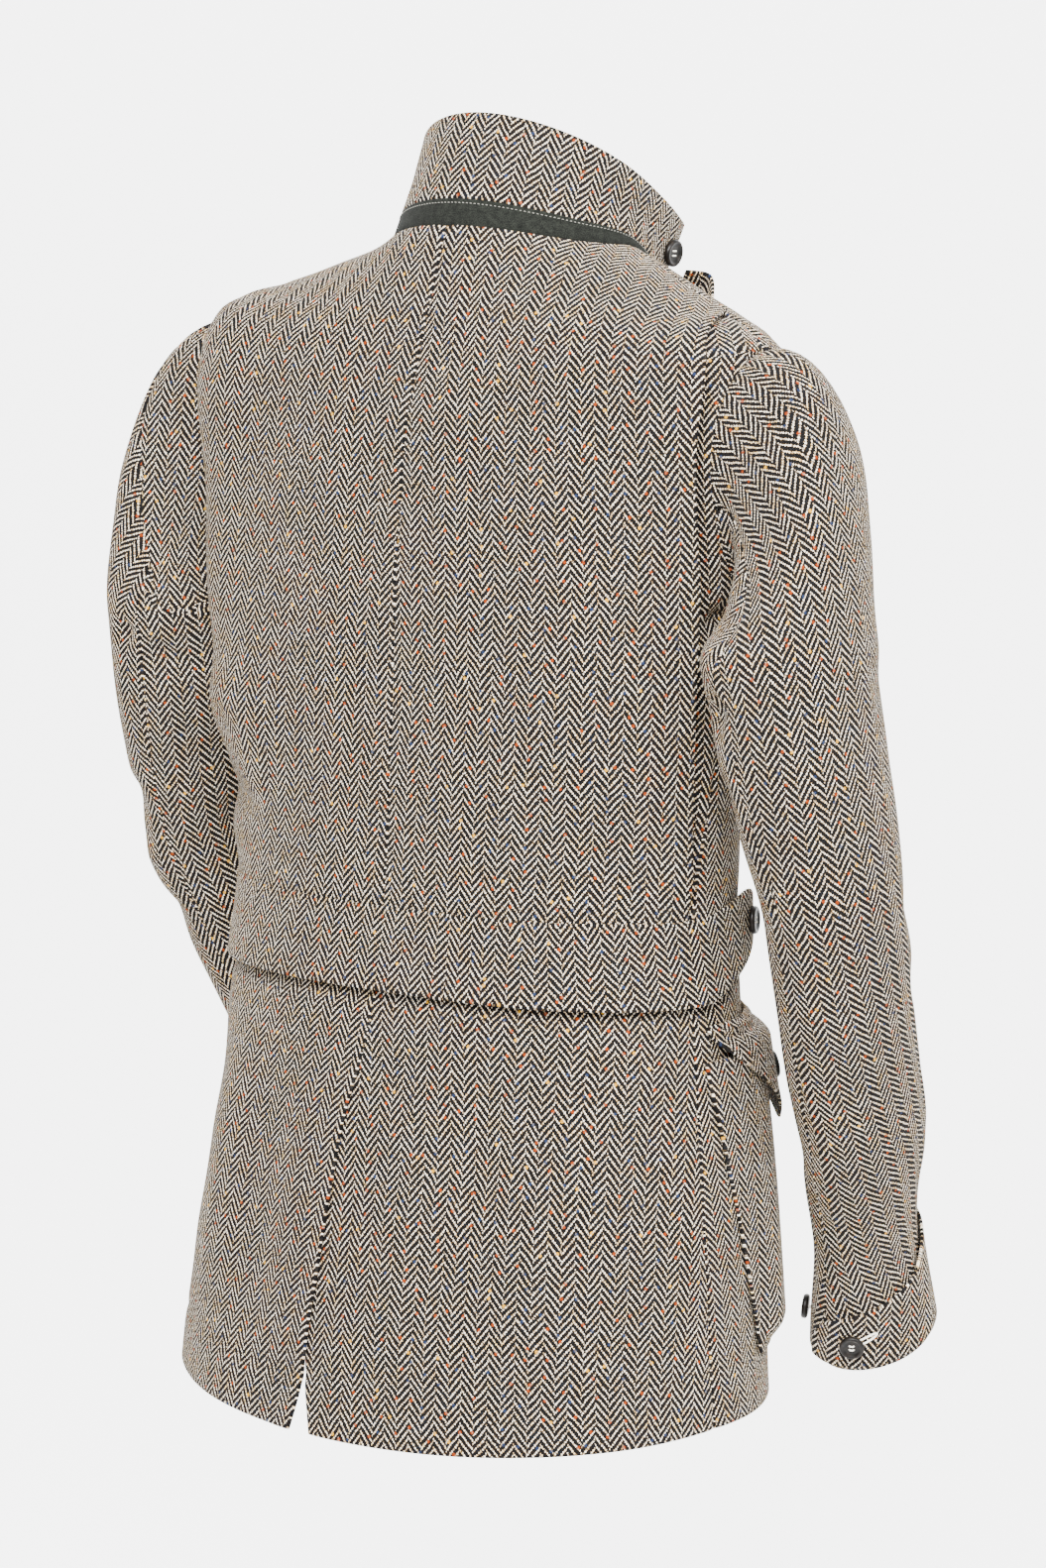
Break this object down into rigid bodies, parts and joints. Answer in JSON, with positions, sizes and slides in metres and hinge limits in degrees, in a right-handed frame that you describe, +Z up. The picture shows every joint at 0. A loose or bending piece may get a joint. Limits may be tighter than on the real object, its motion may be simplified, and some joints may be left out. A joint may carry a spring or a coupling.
{
  "type": "safari jacket",
  "caption": "Belted herringbone tweed field jacket in its worn, hollow form: collar turned up, action pleats, half-belt, centre vent, hip pockets with buttoned flaps, strapped cuffs.",
  "frame": {"origin": "on the neck's axis at the height of the centre-back neck seam, where the wearer's neck and shoulders hold the jacket", "axes": "+Z up, the wearer faces -Y, the wearer's left is +X"},
  "size_m": [0.5608, 0.3586, 0.7844],
  "materials": {
    "tweed": "cream and charcoal herringbone wool with coloured flecks",
    "felt": "matt dark felt",
    "horn": "satin dark horn"
  },
  "bodies": {
    "root": {"back_left": "tweed", "back_right": "tweed", "side_left": "tweed", "side_right": "tweed", "skirt_left": "tweed", "skirt_right": "tweed", "front_left": "tweed", "front_right": "tweed", "lapel_left": "tweed", "lapel_right": "tweed", "belt_back": "tweed", "collar_leaf": "tweed", "sleeve_top_left": "tweed", "sleeve_top_right": "tweed", "sleeve_under_left": "tweed", "sleeve_under_right": "tweed", "cuff_tab_left": "tweed", "cuff_tab_right": "tweed", "pocket_bag_left": "tweed", "pocket_bag_right": "tweed", "pocket_flap_left": "tweed", "pocket_flap_right": "tweed", "collar_stand": "felt", "button_collar": "horn", "button_belt_left": "horn", "button_belt_right": "horn", "button_flap_left": "horn", "button_flap_right": "horn", "button_cuff_left_1": "horn", "button_cuff_right_1": "horn", "button_cuff_left_2": "horn", "button_cuff_right_2": "horn", "button_front_1": "horn", "button_front_2": "horn", "button_front_3": "horn", "button_front_4": "horn"}
  },
  "joints": []
}
